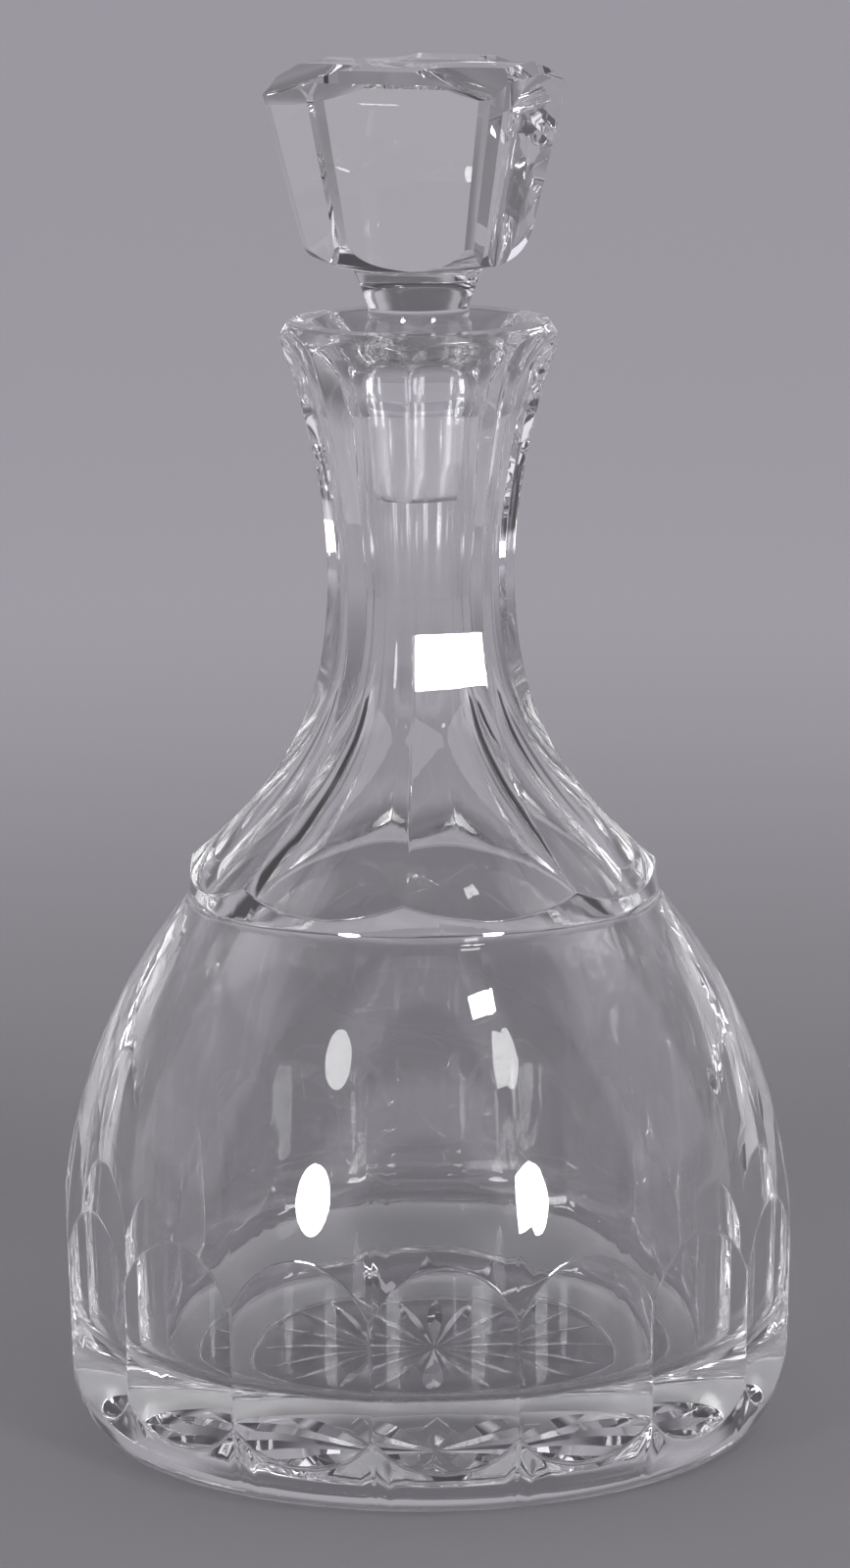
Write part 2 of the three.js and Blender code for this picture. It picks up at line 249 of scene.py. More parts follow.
# The cuts round the bottle, with their angles in degrees: a panel and a ray of the star take the
# same step, and a flute takes two.
PANELS, PANEL_EDGE, PANEL_STEP = 16, -8.6, 22.5
FLUTES, FLUTE_EDGE, FLUTE_STEP = 8, -4.85, 45.0
PANEL_FOOT_RADIUS, PANEL_FOOT_Z = 69.5, 9.7
PANEL_LEAN = 1.1 / 40.3
# The wheel and the polisher leave a fine rounded bead along each cut edge. Two rows of the mesh
# lie on each side of its middle row, and the heights are those of the middle row, the next and
# the outer one.
BEAD_STEPS = (0.25, 0.55)
BEAD_HEIGHTS = (0.075, 0.05, 0.0)


def bezier(start, leave, arrive, end, count):
    """A cubic curve of count points."""
    t = np.linspace(0, 1, count)[:, None]
    start, leave, arrive, end = (np.array(point, float) for point in (start, leave, arrive, end))
    return (1 - t) ** 3 * start + 3 * (1 - t) ** 2 * t * leave + 3 * (1 - t) * t**2 * arrive + t**3 * end


def bent(start, corner, end, count):
    """A stretch of count points that turns round inside a corner."""
    t = np.linspace(0, 1, count)[:, None]
    start, corner, end = (np.array(point, float) for point in (start, corner, end))
    return (1 - t) ** 2 * start + 2 * t * (1 - t) * corner + t**2 * end


def through(points, count):
    """A smooth line through points, each stretch of it with the same number of steps."""
    points = np.array(points, float)
    final = len(points) - 1
    along = np.linspace(0, final, count)
    start = np.minimum(along.astype(int), final - 1)
    w = (along - start)[:, None]
    before, a, b, after = (points[np.clip(start + step, 0, final)] for step in (-1, 0, 1, 2))
    leave, arrive = (b - before) / 2, (after - a) / 2
    bend = 3 * (b - a) - 2 * leave - arrive
    turn_in = 2 * (a - b) + leave + arrive
    return a + leave * w + bend * w**2 + turn_in * w**3


def rounded(points, radii, count):
    """A path of straight stretches whose corners are rounded off."""
    path = [np.array(points[0], float)]
    for before, at, after, radius in zip(points, points[1:], points[2:], radii):
        before, at, after = (np.array(point, float) for point in (before, at, after))
        back = (before - at) / np.linalg.norm(before - at)
        ahead = (after - at) / np.linalg.norm(after - at)
        path += list(bent(at + back * radius, at, at + ahead * radius, count))
    path.append(np.array(points[-1], float))
    return np.array(path)


def lengths(line):
    """How far each point of a line lies along it."""
    steps = np.hypot(*np.diff(line, axis=0).T)
    return np.concatenate([[0], np.cumsum(steps)])


def root(function, low, high, steps=46):
    """Where a function changes sign between low and high, for every column at once."""
    low, high = low.copy(), high.copy()
    sign = np.sign(function(low))
    for _ in range(steps):
        middle = (low + high) / 2
        same = np.sign(function(middle)) == sign
        low = np.where(same, middle, low)
        high = np.where(same, high, middle)
    return (low + high) / 2


# The bottle is a net of rows, one above the other from the middle of the base round to the floor
# inside. Its columns are alike in each panel, and two lie close to each side of a cut's edge.
PANEL_COLUMNS = 20
PANEL_GAPS = (0.2, 0.44)
FLUTE_GAPS = (0.6, 1.3)
flute_offset = FLUTE_EDGE - PANEL_EDGE
across = [0, *PANEL_GAPS]
across += [flute_offset + gap for gap in (-FLUTE_GAPS[1], -FLUTE_GAPS[0], 0, *FLUTE_GAPS)]
plain_columns = PANEL_COLUMNS - len(across)
across += list(np.linspace(across[-1], PANEL_STEP - PANEL_GAPS[1], plain_columns)[1:])
across.append(PANEL_STEP - PANEL_GAPS[0])
panel_columns = [PANEL_STEP * panel + np.array(across) for panel in range(PANELS)]
columns = PANEL_EDGE + np.concatenate(panel_columns)
panel_ridge = PANEL_COLUMNS * np.arange(PANELS)
flute_ridge = across.index(flute_offset) + PANELS // FLUTES * PANEL_COLUMNS * np.arange(FLUTES)
panel_angle = np.radians((columns - PANEL_EDGE) % PANEL_STEP - PANEL_STEP / 2)
flute_angle = np.radians((columns - FLUTE_EDGE) % FLUTE_STEP - FLUTE_STEP / 2)
ones = np.ones(len(columns))
rows_radius, rows_height, rows_azimuth = [], [], []


def add_row(radius, height, azimuths=columns):
    rows_radius.append(radius * ones)
    rows_height.append(height * ones)
    rows_azimuth.append(azimuths)


def add_turned(outline):
    for radius, height in outline:
        add_row(radius, height)


def this_row():
    return len(rows_radius) - 1


# The star lies in the recess under the base. From the middle out, each ray's floor and both its
# edges follow the mesh: half of the columns lie in the rays.
RAY_STEP = PANEL_STEP
HALF_STEP = RAY_STEP / 2
RAY_COLUMN = 8
RAY_FULLEST = 1.35
LEAST_EDGE, WIDEST_EDGE = 0.6, 11.0
STAR_START = 0.2
star_turn = RAY_STEP / PANEL_COLUMNS * (np.arange(len(columns)) - RAY_COLUMN)
turn_in_ray = (star_turn + HALF_STEP) % RAY_STEP - HALF_STEP
ray_axis = star_turn - turn_in_ray
ray_place = turn_in_ray / HALF_STEP
in_ray = np.abs(ray_place) <= 0.5 + 1e-6
star_radii = [*np.linspace(0.15, 1, 3), *np.linspace(1, STAR_RADIUS + 0.15, 32)[1:]]
for star_radius in star_radii:
    share = np.clip((star_radius - STAR_START) / STAR_RADIUS, 0, 1)
    depth = STAR_HALF_WIDTH * STAR_SLOPE * math.sin(math.pi * share**RAY_FULLEST)
    edge = math.degrees(math.asin(min(1, depth / STAR_SLOPE / star_radius)))
    edge = min(max(edge, LEAST_EDGE), WIDEST_EDGE)
    beyond = edge + (HALF_STEP - edge) * (2 * np.abs(ray_place) - 1)
    spread = np.where(in_ray, 2 * ray_place * edge, np.sign(ray_place) * beyond)
    from_floor = STAR_SLOPE * np.abs(star_radius * np.sin(np.radians(spread)))
    add_row(star_radius, RECESS_DEPTH + np.clip(depth - from_floor, 0, None), ray_axis + spread)
star_last = this_row()

# The recess has a bevelled side with soft corners, and the foot ring round it is ground flat.
add_row(RECESS_RADIUS - 1.4, RECESS_DEPTH)
recess_side = [(RECESS_RADIUS - 1.5, RECESS_DEPTH), (RECESS_RADIUS - 0.8, RECESS_DEPTH),
               (RECESS_RADIUS, 0), (RECESS_RADIUS + 1, 0)]
add_turned(rounded(recess_side, [0.35, 0.35], 5)[1:])
for ring_radius in np.linspace(RECESS_RADIUS + 3, FOOT_RADIUS - 0.6, 6):
    add_row(ring_radius, 0)

# The panels are flat faces that lean a little outwards. Each meets the round heel below and the
# bell above in an arch, so both edges are worked out for every column.
HEEL_DEPTH = BODY_RADIUS - FOOT_RADIUS
HIGHEST_ARCH_Z = 70
bell_leave = (BODY_RADIUS, 62.9)
bell_arrive = (GROOVE_RADIUS + 16.5, GROOVE_Z - 20.8)
bell = bezier((BODY_RADIUS, BODY_WIDEST_Z), bell_leave, bell_arrive, (GROOVE_RADIUS, GROOVE_Z), 900)
bell_shares = np.linspace(0, 1, len(bell))


def heel_radius(z):
    rise_left = (BODY_WIDEST_Z - z) / BODY_WIDEST_Z
    return FOOT_RADIUS + HEEL_DEPTH * np.sqrt(np.clip(1 - rise_left**2, 0, 1))


def bell_radius(z):
    return np.interp(z, bell[:, 1], bell[:, 0])


def panel_radius(z):
    return (PANEL_FOOT_RADIUS + (z - PANEL_FOOT_Z) * PANEL_LEAN) / np.cos(panel_angle)


panel_low = root(lambda z: heel_radius(z) - panel_radius(z), 0 * ones, BODY_WIDEST_Z * ones)
panel_high = root(lambda z: bell_radius(z) - panel_radius(z), BODY_WIDEST_Z * ones, HIGHEST_ARCH_Z * ones)
near, far = BEAD_STEPS
heel_end = np.arccos(1 - (panel_low - far) / BODY_WIDEST_Z)
heel_turns = [heel_end * share for share in np.linspace(0, 1, 18)[1:]]
heel_turns += [np.arccos(1 - (panel_low - gap) / BODY_WIDEST_Z) for gap in (near, 0)]
for heel_turn in heel_turns:
    add_row(FOOT_RADIUS + HEEL_DEPTH * np.sin(heel_turn), BODY_WIDEST_Z * (1 - np.cos(heel_turn)))
panel_first = this_row()
panel_from, panel_to = panel_low + far, panel_high - far
add_row(panel_radius(panel_low + near), panel_low + near)
for share in np.linspace(0, 1, 10):
    panel_z = panel_from + (panel_to - panel_from) * share
    add_row(panel_radius(panel_z), panel_z)
for panel_z in (panel_high - near, panel_high):
    add_row(panel_radius(panel_z), panel_z)
panel_last = this_row()

# The bell closes in a groove, and a short wall stands above it up to the scallops of the flutes.
BELL_TOP = 0.992
WALL_Z = 107.0
bell_near, bell_far = (np.interp(panel_high + gap, bell[:, 1], bell_shares) for gap in BEAD_STEPS)
bell_places = [bell_near]
bell_places += [bell_far + (BELL_TOP - bell_far) * share for share in np.linspace(0, 1, 33)]
for bell_place in bell_places:
    add_row(*(np.interp(bell_place, bell_shares, side) for side in bell.T))
bell_end = (rows_radius[-1][0], rows_height[-1][0])
add_turned(bent(bell_end, (45.95, 105.75), (45.68, WALL_Z), 8)[1:])

# The flutes scoop up from the shoulder, run straight up the neck and flare out to the rim.
scoop = bezier((45.6, 109.4), (30, 123.3), (NECK_RADIUS, 135.5), (NECK_RADIUS, NECK_Z), 500)
flare = bezier((NECK_RADIUS, NECK_Z), (NECK_RADIUS, 183), (20.2, 202.5), (26, 216.5), 500)
flute = np.vstack([scoop, flare[1:], flare[-1] + (0.5, 1.2)])
flute_length = lengths(flute)


def wall_radius(z):
    return np.interp(z, [KNOB_FOOT_Z, KNOB_TOP_Z], [KNOB_FOOT_RADIUS, KNOB_TOP_RADIUS])


def flute_at(length):
    return np.interp(length, flute_length, flute[:, 0]), np.interp(length, flute_length, flute[:, 1])


def above_wall(length):
    distance, z = flute_at(length)
    return distance / np.cos(flute_angle) - wall_radius(z)


flute_start = root(above_wall, 0 * ones, 12 * ones)
start_z = flute_at(flute_start)[1]
for share in np.linspace(0, 1, 8)[1:]:
    wall_z = WALL_Z + (start_z - far - WALL_Z) * share
    add_row(wall_radius(wall_z), wall_z)
for wall_z in (start_z - near, start_z):
    add_row(wall_radius(wall_z), wall_z)
flute_first = this_row()

# The lip turns over the top of the flutes, so each flute ends where it comes out inside the lip.
LIP_SPARE = 0.3
lip = rounded([(26.2, 211), (26.7, 215.2), (25.2, RIM_Z), (21, RIM_Z)], [0.4, 0.35], 9)
lip = lip[: int(np.argmax(lip[:, 1] >= RIM_Z - 1e-6)) + 1]
lip_length = lengths(lip)


def lip_at(length):
    return np.interp(length, lip_length, lip[:, 0]), np.interp(length, lip_length, lip[:, 1])


def inside_lip(length):
    radius, z = lip_at(length)
    return radius * np.cos(flute_angle) - np.interp(z, flute[:, 1], flute[:, 0])


lip_start = root(inside_lip, 0 * ones, lip_length[-1] * ones)
flute_end = np.interp(lip_at(lip_start)[1], flute[:, 1], flute_length)
flute_from, flute_to = flute_start + far, flute_end - far
flute_lengths = [flute_start + near]
flute_lengths += [flute_from + (flute_to - flute_from) * share for share in np.linspace(0, 1, 51)]
flute_lengths += [flute_end - near, flute_end]
for length in flute_lengths:
    distance, flute_z = flute_at(length)
    add_row(distance / np.cos(flute_angle), flute_z)
flute_last = this_row()
lip_limit = lip_length[-1] - LIP_SPARE
lip_near, lip_from = (np.minimum(lip_start + gap, lip_limit + gap / 10) for gap in BEAD_STEPS)
lip_places = [lip_near]
lip_places += [lip_from + (lip_length[-1] - lip_from) * share for share in np.linspace(0, 1, 13)]
for lip_place in lip_places:
    add_row(*lip_at(lip_place))

# Inside, the mouth is a funnel that narrows to the ground bore. Under the bore the hollow opens
# out again and follows the bell down to the floor.
MOUTH_RADIUS = 20.2
THROAT = (11.3, 207)
CAVITY_LINE = [(BORE_END_RADIUS, BORE_END_Z), (8.9, 154), (11.4, 142.5), (17.2, 132.5), (24.8, 123),
               (32.8, 114), (40.5, 103.5), (47.0, 91), (51.8, 77), (54.6, 61), (55.2, 46), (55.1, 34),
               (54.9, 25)]
mouth = bezier((MOUTH_RADIUS, RIM_Z), (17.2, 214.6), (12.2, 213.0), THROAT, 17)
add_turned(rounded([(24.6, RIM_Z), (MOUTH_RADIUS, RIM_Z), tuple(mouth[2])], [0.45], 7)[1:-1])
add_turned(mouth[2:])
add_turned(bezier(THROAT, (11.1, 205), (10.5, 203), (BORE_TOP_RADIUS, BORE_TOP_Z), 9)[1:])
add_turned(np.linspace((BORE_TOP_RADIUS, BORE_TOP_Z), (BORE_END_RADIUS, BORE_END_Z), 10)[1:-1])
add_turned(through(CAVITY_LINE, 49))
wall_end = CAVITY_LINE[-1]
add_turned(bent(wall_end, (wall_end[0] - 0.4, FLOOR_Z), (49.5, FLOOR_Z), 10)[1:])
for floor_radius in np.linspace(45, 1, 6):
    add_row(floor_radius, FLOOR_Z)

turns = np.radians(np.array(rows_azimuth))
outwards = np.stack([np.sin(turns), -np.cos(turns), 0 * turns], -1)
grid = np.array(rows_radius)[..., None] * outwards
grid[..., 2] = np.array(rows_height)
row_count, column_count = turns.shape

# The bead is raised outwards from the axis, and its faces hardly count in the shading of the cuts
# beside it. The bottle stays inside the box of the solid that it stands for.
INSIDE_BOX = 0.001
FULL_WEIGHT, BEAD_WEIGHT = 1.0, 1e-6
soft = np.zeros((row_count, column_count), bool)
raised = np.zeros((row_count, column_count))
for ridges, first, final in ((panel_ridge, panel_first, panel_last), (flute_ridge, flute_first, flute_last)):
    for gap in range(-2, 3):
        beside = (ridges + gap) % column_count
        raised[first : final + 1, beside] = BEAD_HEIGHTS[abs(gap)]
        if gap < 2:
            soft[first:final, beside] = True
for row in (panel_first, panel_last, flute_first, flute_last):
    for gap in range(-2, 3):
        raised[row + gap] = np.maximum(raised[row + gap], BEAD_HEIGHTS[abs(gap)])
        if gap < 2:
            soft[row + gap] = True
grid += outwards * raised[..., None]
reach = max(abs(value) for value in cad_box[0][:2]) / MM - INSIDE_BOX
grid[..., :2] = np.clip(grid[..., :2], -reach, reach)

# Crisp edges are left only on the star: along the floor and both edges of each ray.
half_ray = PANEL_COLUMNS // 2
column_in_ray = np.round(np.abs(ray_place) * half_ray).astype(int)
crisp_up = np.zeros((row_count, column_count), bool)
crisp_up[:star_last] = np.isin(column_in_ray, (0, half_ray // 2, half_ray))

# Shading normals: each corner takes the mean of the faces round it that no crisp edge cuts off.
right = np.roll(grid, -1, axis=1)
face_normal = np.cross(right[1:] - grid[:-1], grid[1:] - right[:-1])
face_weight = np.where(soft[:-1, :, None], BEAD_WEIGHT, FULL_WEIGHT)
pad = np.zeros((1, column_count, 3))
weighted = np.concatenate([pad, face_normal * face_weight, pad])
weighted_left = np.roll(weighted, 1, axis=1)
cut_above = crisp_up[..., None]
cut_below = np.concatenate([np.zeros((1, column_count), bool), crisp_up[:-1]])[..., None]
both_open = ~(cut_above & cut_below)
right_side = weighted[:-1] + weighted[1:]
left_side = weighted_left[:-1] + weighted_left[1:]


def unit(vectors):
    return vectors / np.maximum(np.linalg.norm(vectors, axis=-1, keepdims=True), 1e-12)


normal_right = unit(right_side + np.where(both_open, left_side, 0))
normal_left = unit(left_side + np.where(both_open, right_side, 0))
normal_next = np.roll(normal_left, -1, axis=1)
corner_normals = np.stack([normal_right[:-1], normal_next[:-1], normal_next[1:], normal_right[1:]], axis=2)

points = np.vstack([grid.reshape(-1, 3), [(0, 0, RECESS_DEPTH), (0, 0, FLOOR_Z)]]) * MM
base_centre, floor_centre = len(points) - 2, len(points) - 1
row, column = np.meshgrid(np.arange(row_count - 1), np.arange(column_count), indexing="ij")
following = (column + 1) % column_count
below, above = row * column_count, (row + 1) * column_count
quads = np.stack([below + column, below + following, above + following, above + column], -1).reshape(-1, 4)
top_row = (row_count - 1) * column_count
fans = [(base_centre, (c + 1) % column_count, c) for c in range(column_count)]
fans += [(floor_centre, top_row + c, top_row + (c + 1) % column_count) for c in range(column_count)]
bottle_mesh = bpy.data.meshes.new("Bottle")
bottle_mesh.from_pydata(points.tolist(), [], quads.tolist() + fans)
bottle_mesh.update()
bottle_mesh.shade_smooth()
ends = np.empty(len(bottle_mesh.edges) * 2, dtype=np.int64)
bottle_mesh.edges.foreach_get("vertices", ends)
ends = ends.reshape(-1, 2)
edge_row, edge_column = ends // column_count, ends % column_count
up_column = (ends.max(axis=1) < base_centre) & (edge_column[:, 0] == edge_column[:, 1])
low_row = np.minimum(edge_row.min(axis=1), row_count - 1)
crisp_edges = bottle_mesh.attributes.new("sharp_edge", "BOOLEAN", "EDGE")
crisp_edges.data.foreach_set("value", up_column & crisp_up[low_row, edge_column[:, 0]])
fan_normals = [(0.0, 0.0, -1.0)] * (3 * column_count) + [(0.0, 0.0, 1.0)] * (3 * column_count)
bottle_mesh.normals_split_custom_set(corner_normals.reshape(-1, 3).tolist() + fan_normals)
bottle = bpy.data.objects.new("Bottle", bottle_mesh)
scene.collection.objects.link(bottle)
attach(bottle, "bottle")
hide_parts("bottle")


def new_group(name, inputs, outputs):
    """A shader node group with named value sockets, and its nodes for what goes in and out."""
    group = bpy.data.node_groups.new(name, "ShaderNodeTree")
    for socket in inputs:
        group.interface.new_socket(socket, in_out="INPUT", socket_type="NodeSocketFloat")
    for socket in outputs:
        group.interface.new_socket(socket, in_out="OUTPUT", socket_type="NodeSocketFloat")
    return group, group.nodes.new("NodeGroupInput"), group.nodes.new("NodeGroupOutput")


def math_node(tree, operation, *values):
    """A Math node whose inputs are linked sockets or plain numbers. Gives its output."""
    made = tree.nodes.new("ShaderNodeMath")
    made.operation = operation
    for socket, value in zip(made.inputs, values):
        if isinstance(value, (int, float)):
            socket.default_value = value
        else:
            tree.links.new(value, socket)
    return made.outputs[0]


# Polished glass: shallow waves that the polishing leaves, and faint smudges where hands have been.
polish, given, result = new_group("Polished glass", ["Wave Scale", "Smudge"], ["Height", "Roughness"])
place = polish.nodes.new("ShaderNodeTexCoord").outputs["Object"]
waves = polish.nodes.new("ShaderNodeTexNoise")
waves.inputs["Detail"].default_value = 1.5
polish.links.new(place, waves.inputs["Vector"])
polish.links.new(given.outputs["Wave Scale"], waves.inputs["Scale"])
polish.links.new(waves.outputs["Fac"], result.inputs["Height"])
smudges = polish.nodes.new("ShaderNodeTexNoise")
smudges.inputs["Scale"].default_value = 38
smudges.inputs["Detail"].default_value = 5
smudges.inputs["Distortion"].default_value = 0.6
polish.links.new(place, smudges.inputs["Vector"])
patch = polish.nodes.new("ShaderNodeMapRange")
patch.inputs["From Min"].default_value = 0.56
patch.inputs["From Max"].default_value = 0.74
polish.links.new(smudges.outputs["Fac"], patch.inputs["Value"])
amount = math_node(polish, "MULTIPLY", patch.outputs["Result"], given.outputs["Smudge"])
polish.links.new(amount, result.inputs["Roughness"])

# Ground band: glass that is ground and left satin, between two heights and inside one radius,
# with the fine grain of the grinding. The joint of plug and neck is one, and so is the foot ring.
ground_band, given, result = new_group("Ground band", ["Low", "High", "Radius"], ["Mask", "Grain"])
place = ground_band.nodes.new("ShaderNodeTexCoord").outputs["Object"]
height_of = ground_band.nodes.new("ShaderNodeSeparateXYZ")
ground_band.links.new(place, height_of.inputs[0])
flat_place = ground_band.nodes.new("ShaderNodeVectorMath")
flat_place.operation = "MULTIPLY"
flat_place.inputs[1].default_value = (1, 1, 0)
ground_band.links.new(place, flat_place.inputs[0])
from_axis = ground_band.nodes.new("ShaderNodeVectorMath")
from_axis.operation = "LENGTH"
ground_band.links.new(flat_place.outputs[0], from_axis.inputs[0])
over_low = math_node(ground_band, "GREATER_THAN", height_of.outputs["Z"], given.outputs["Low"])
under_high = math_node(ground_band, "LESS_THAN", height_of.outputs["Z"], given.outputs["High"])
within = math_node(ground_band, "LESS_THAN", from_axis.outputs["Value"], given.outputs["Radius"])
mask = math_node(ground_band, "MULTIPLY", math_node(ground_band, "MULTIPLY", over_low, under_high), within)
ground_band.links.new(mask, result.inputs["Mask"])
grain = ground_band.nodes.new("ShaderNodeTexNoise")
grain.inputs["Scale"].default_value = 900
grain.inputs["Detail"].default_value = 2
ground_band.links.new(place, grain.inputs["Vector"])
ground_band.links.new(math_node(ground_band, "MULTIPLY", grain.outputs["Fac"], mask), result.inputs["Grain"])

# Clear lead glass. Part of the light passes straight through it in shadows and for matt things,
# so that the floor under the decanter isn't black.
REFRACTION = 1.55
SMUDGE = 0.035
GRAIN_SHARE = 0.1
WAVE_STRENGTH, WAVE_HEIGHT = 0.25, 0.2
LET_THROUGH = 0.6


def cut_glass(name, colour, wave_scale, ground_bands):
    """Clear glass. Each ground band is given as its low and high edge, its radius and its satin."""
    made = bpy.data.materials.new(name)
    made.use_nodes = True
    tree = made.node_tree
    shader = tree.nodes["Principled BSDF"]
    shader.inputs["Base Color"].default_value = colour
    shader.inputs["IOR"].default_value = REFRACTION
    shader.inputs["Transmission Weight"].default_value = 1.0
    polished = tree.nodes.new("ShaderNodeGroup")
    polished.node_tree = polish
    polished.inputs["Wave Scale"].default_value = wave_scale
    polished.inputs["Smudge"].default_value = SMUDGE
    roughness = polished.outputs["Roughness"]
    height = polished.outputs["Height"]
    for low, high, radius, satin in ground_bands:
        ground = tree.nodes.new("ShaderNodeGroup")
        ground.node_tree = ground_band
        ground.inputs["Low"].default_value = low * MM
        ground.inputs["High"].default_value = high * MM
        ground.inputs["Radius"].default_value = radius * MM
        roughness = math_node(tree, "MULTIPLY_ADD", ground.outputs["Mask"], satin, roughness)
        height = math_node(tree, "MULTIPLY_ADD", ground.outputs["Grain"], GRAIN_SHARE, height)
    tree.links.new(roughness, shader.inputs["Roughness"])
    bump = tree.nodes.new("ShaderNodeBump")
    bump.inputs["Strength"].default_value = WAVE_STRENGTH
    bump.inputs["Distance"].default_value = WAVE_HEIGHT * MM
    tree.links.new(height, bump.inputs["Height"])
    tree.links.new(bump.outputs["Normal"], shader.inputs["Normal"])
    ray = tree.nodes.new("ShaderNodeLightPath")
    passing = math_node(tree, "MAXIMUM", ray.outputs["Is Shadow Ray"], ray.outputs["Is Diffuse Ray"])
    tree.links.new(math_node(tree, "MULTIPLY_ADD", passing, -LET_THROUGH, 1.0), shader.inputs["Alpha"])
    return made


# The bore of the neck is ground to the plug, and the foot ring, which alone lies under 0.3 mm, is
# ground to stand level.
JOINT_SATIN, FOOT_SATIN = 0.11, 0.4
ground_neck = (BORE_END_Z, BORE_TOP_Z, BORE_TOP_RADIUS + 2.1, JOINT_SATIN)
ground_foot = (-1, 0.3, BODY_RADIUS + 8, FOOT_SATIN)
bottle_glass = cut_glass("Bottle glass", (0.98, 0.983, 0.987, 1), 55, [ground_neck, ground_foot])
bottle_mesh.materials.append(bottle_glass)

# Stopper: one solid piece of the same glass. The head is cut square with four broad faces,
# narrow facets on its corners, and a long hollow thumb cut across each top corner.
# The round stem ends in a plug that is ground to fit the neck. All sizes are in millimetres.
HEAD_TURN = 24
HEAD_START_Z, HEAD_EDGE_Z, HEAD_TOP_Z = 222, 264.6, 266.8
FACE_DISTANCE, FACE_LEAN = 23.4, -0.194
CORNER_DISTANCE, CORNER_LEAN = 31.8, -0.264
BEVEL_LEAN = 2.6 / 2.2
THUMB_RADIUS, THUMB_START, THUMB_SLOPE = 25.0, 13.5, 0.27
WHEEL_BACK, WHEEL_AHEAD = -30, 60
STEM_RADIUS, STEM_TOP_Z = 9.7, 220.5
PLUG_RADIUS, PLUG_Z, PLUG_LENGTH, PLUG_TAPER = 8.9, 185.6, 29.4, 0.05
PLUG_END_Z = 184.6
BLANK_RADIUS, BLANK_TOP_Z = 34.5, 268.8


def outward(azimuth, up):
    """A direction away from the axis that also rises or falls."""
    turned_by = math.radians(azimuth)
    return Vector((math.sin(turned_by), -math.cos(turned_by), up)).normalized()


def new_object(name, points, faces):
    mesh = bpy.data.meshes.new(name)
    mesh.from_pydata(points, [], faces)
    mesh.update()
    made = bpy.data.objects.new(name, mesh)
    scene.collection.objects.link(made)
    return made


def turned(name, outline, segments=192):
    """A body turned from an outline of (radius, height) points that starts and ends on the axis."""
    points = [(0, 0, outline[0][1]), (0, 0, outline[-1][1])]
    faces = []
    for radius, z in outline[1:-1]:
        for k in range(segments):
            turned_by = math.tau * k / segments
            points.append((radius * math.cos(turned_by), radius * math.sin(turned_by), z))
    for ring in range(len(outline) - 3):
        low = 2 + ring * segments
        for k in range(segments):
            next_k = (k + 1) % segments
            faces.append((low + k, low + next_k, low + segments + next_k, low + segments + k))
    top = 2 + (len(outline) - 3) * segments
    for k in range(segments):
        next_k = (k + 1) % segments
        faces.append((0, 2 + next_k, 2 + k))
        faces.append((1, top + k, top + next_k))
    return new_object(name, points, faces)


def grind_flat(mesh, point, normal):
    """Takes away all that lies beyond a plane and closes the cut with one flat face."""
    whole = mesh.verts[:] + mesh.edges[:] + mesh.faces[:]
    cut = bmesh.ops.bisect_plane(
        mesh, geom=whole, dist=1e-5, plane_co=point, plane_no=normal, clear_outer=True)
    rim = [part for part in cut["geom_cut"] if isinstance(part, bmesh.types.BMEdge)]
    rim = [edge for edge in rim if edge.is_boundary]
    if rim:
        bmesh.ops.holes_fill(mesh, edges=rim, sides=0)


def round_wheel(point, along, segments=360):
    """A long barrel of the thumb cut's radius that lies along its axis."""
    across = along.cross(Vector((0, 0, 1))).normalized()
    upward = along.cross(across)
    points = []
    for end in (WHEEL_BACK, WHEEL_AHEAD):
        for k in range(segments):
            turned_by = math.tau * k / segments
            side = across * math.cos(turned_by) + upward * math.sin(turned_by)
            points.append(point + along * end + side * THUMB_RADIUS)
    faces = [tuple(range(segments))[::-1], tuple(range(segments, 2 * segments))]
    for k in range(segments):
        next_k = (k + 1) % segments
        faces.append((k, next_k, segments + next_k, segments + k))
    return new_object("Thumb wheel", points, faces)


plug_tip = [(0, PLUG_END_Z), (8.0, PLUG_END_Z), (8.3, 184.68), (8.75, 185.15), (PLUG_RADIUS, PLUG_Z)]
plug = [(PLUG_RADIUS + PLUG_TAPER * up, PLUG_Z + up) for up in np.linspace(1, PLUG_LENGTH, 16)]
stem = [(10.3, 216.2), (10.05, 217.2), (STEM_RADIUS, 218)]
underside = through([(STEM_RADIUS, STEM_TOP_Z), (10.7, 223.2), (12, 226.6), (13.4, 228.1), (17, 228.9),
                     (20.3, 230.2), (23, 232.6), (25.2, 236.5)], 99)
head = [(BLANK_RADIUS, 253), (BLANK_RADIUS, BLANK_TOP_Z), (0, BLANK_TOP_Z)]
stopper = turned("Stopper", plug_tip + plug + stem + underside.tolist() + head)

# The broad faces, the corner facets and the bevels round the top are ground flat.
planes = []
for k in range(4):
    corner_azimuth = HEAD_TURN + 90 * k
    face_azimuth = corner_azimuth + 45
    face_edge = outward(face_azimuth, 0) * FACE_DISTANCE + Vector((0, 0, HEAD_EDGE_Z))
    corner_edge = outward(corner_azimuth, 0) * CORNER_DISTANCE + Vector((0, 0, HEAD_EDGE_Z))
    planes.append((face_edge, outward(face_azimuth, FACE_LEAN)))
    planes.append((corner_edge, outward(corner_azimuth, CORNER_LEAN)))
    planes.append((face_edge, outward(face_azimuth, BEVEL_LEAN)))
planes.append((Vector((0, 0, HEAD_TOP_Z)), Vector((0, 0, 1))))
blank = bmesh.new()
blank.from_mesh(stopper.data)
for point, normal in planes:
    grind_flat(blank, point, normal)
blank.to_mesh(stopper.data)
blank.free()

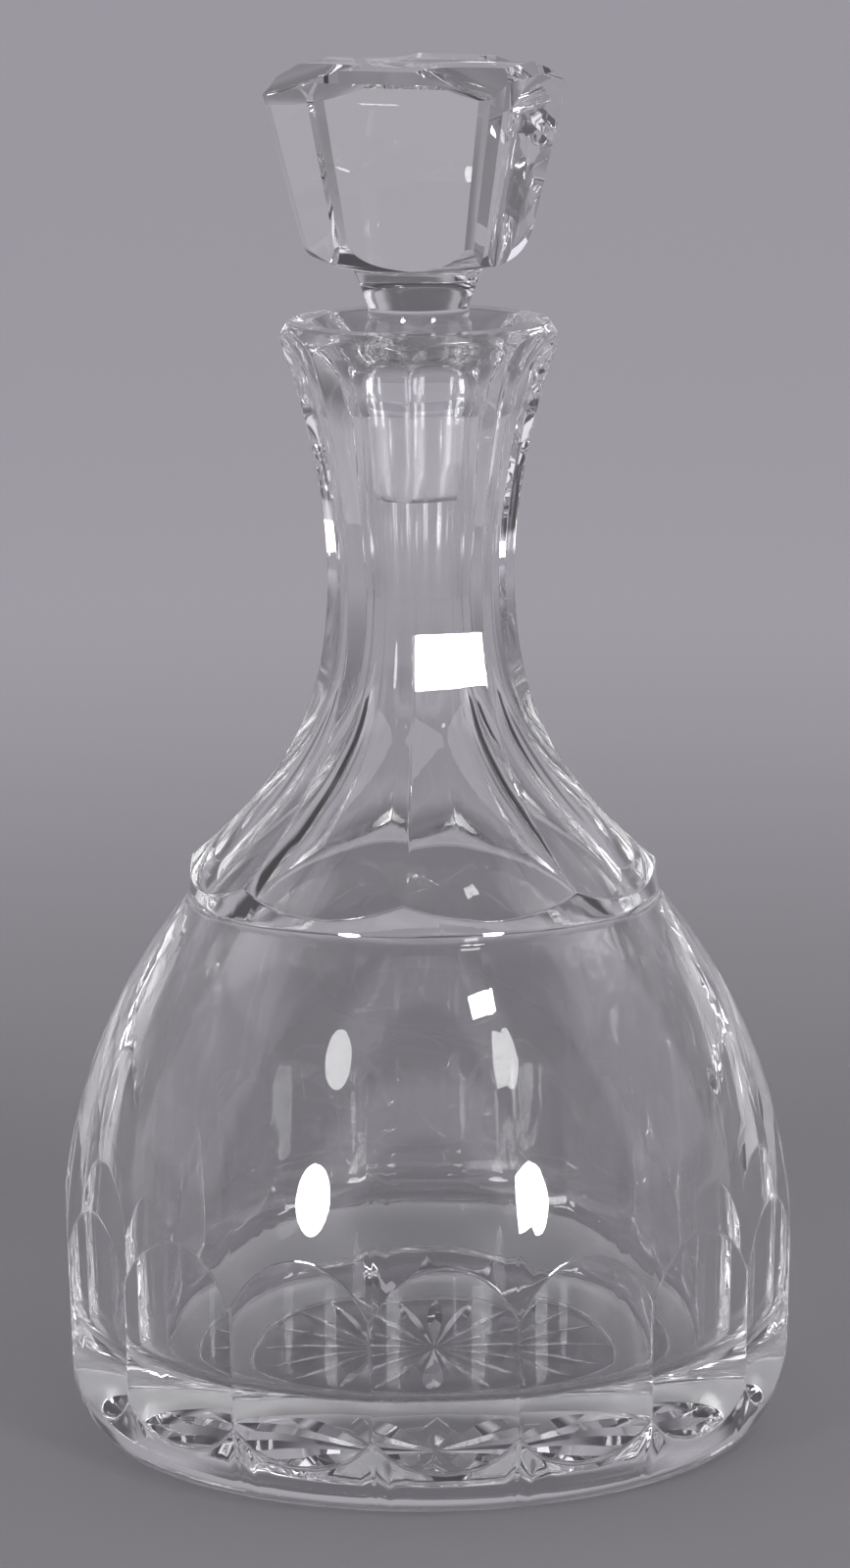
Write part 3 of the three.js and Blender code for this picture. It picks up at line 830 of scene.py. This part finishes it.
# A round wheel then takes the four thumb cuts, which run down from the flat top to the corners.
barrels = []
wheels = []
slope_angle = math.atan(THUMB_SLOPE)
for k in range(4):
    corner = outward(HEAD_TURN + 90 * k, 0)
    along = corner * math.cos(slope_angle) - Vector((0, 0, math.sin(slope_angle)))
    cut_start = corner * THUMB_START + Vector((0, 0, HEAD_TOP_Z))
    upright = corner * math.sin(slope_angle) + Vector((0, 0, math.cos(slope_angle)))
    barrels.append((cut_start + upright * THUMB_RADIUS, along))
    wheels.append(round_wheel(*barrels[-1]))
for wheel in wheels:
    modifier = stopper.modifiers.new("Cut", "BOOLEAN")
    modifier.operation = "DIFFERENCE"
    modifier.solver = "EXACT"
    modifier.object = wheel
cut_stopper = stopper.evaluated_get(bpy.context.evaluated_depsgraph_get())
stopper_mesh = bpy.data.meshes.new_from_object(cut_stopper)
stopper.modifiers.clear()
stopper.data = stopper_mesh
stopper_mesh.name = "Stopper"
for wheel in wheels:
    bpy.data.objects.remove(wheel)

# Each face is given to the plane or wheel that made it. Only the edges between two cuts, and
# those of a steep bend, stay crisp. NO_CUT stands for the faces of the turned blank.
CUT_TOLERANCE = 0.02
STEEP_BEND = math.radians(28)
NO_CUT = -1
made_by = []
for polygon in stopper_mesh.polygons:
    centre = polygon.center
    off = [abs((centre - point).dot(normal)) for point, normal in planes]
    for point, along in barrels:
        away = centre - point
        from_barrel_axis = (away - along * away.dot(along)).length
        off.append(abs(from_barrel_axis - THUMB_RADIUS) / 2)
    nearest = int(np.argmin(off))
    on_cut = off[nearest] < CUT_TOLERANCE and centre.z > HEAD_START_Z
    made_by.append(nearest if on_cut else NO_CUT)
sides_of = {}
for polygon in stopper_mesh.polygons:
    for key in polygon.edge_keys:
        sides_of.setdefault(key, []).append(polygon.index)
crisp = []
for edge in stopper_mesh.edges:
    sides = sides_of.get(edge.key, [])
    if len(sides) != 2:
        crisp.append(False)
        continue
    first, second = (stopper_mesh.polygons[side].normal for side in sides)
    crisp.append(made_by[sides[0]] != made_by[sides[1]] or first.angle(second, 0) > STEEP_BEND)
stopper_mesh.shade_smooth()
crisp_edges = stopper_mesh.attributes.get("sharp_edge")
if crisp_edges is None:
    crisp_edges = stopper_mesh.attributes.new("sharp_edge", "BOOLEAN", "EDGE")
crisp_edges.data.foreach_set("value", crisp)
stopper_mesh.transform(Matrix.Scale(MM, 4))
ground_plug = (184.8, 202, 11, JOINT_SATIN)
stopper_mesh.materials.clear()
stopper_mesh.materials.append(cut_glass("Stopper glass", (0.985, 0.987, 0.99, 1), 70, [ground_plug]))
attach(stopper, "stopper")
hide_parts("stopper")
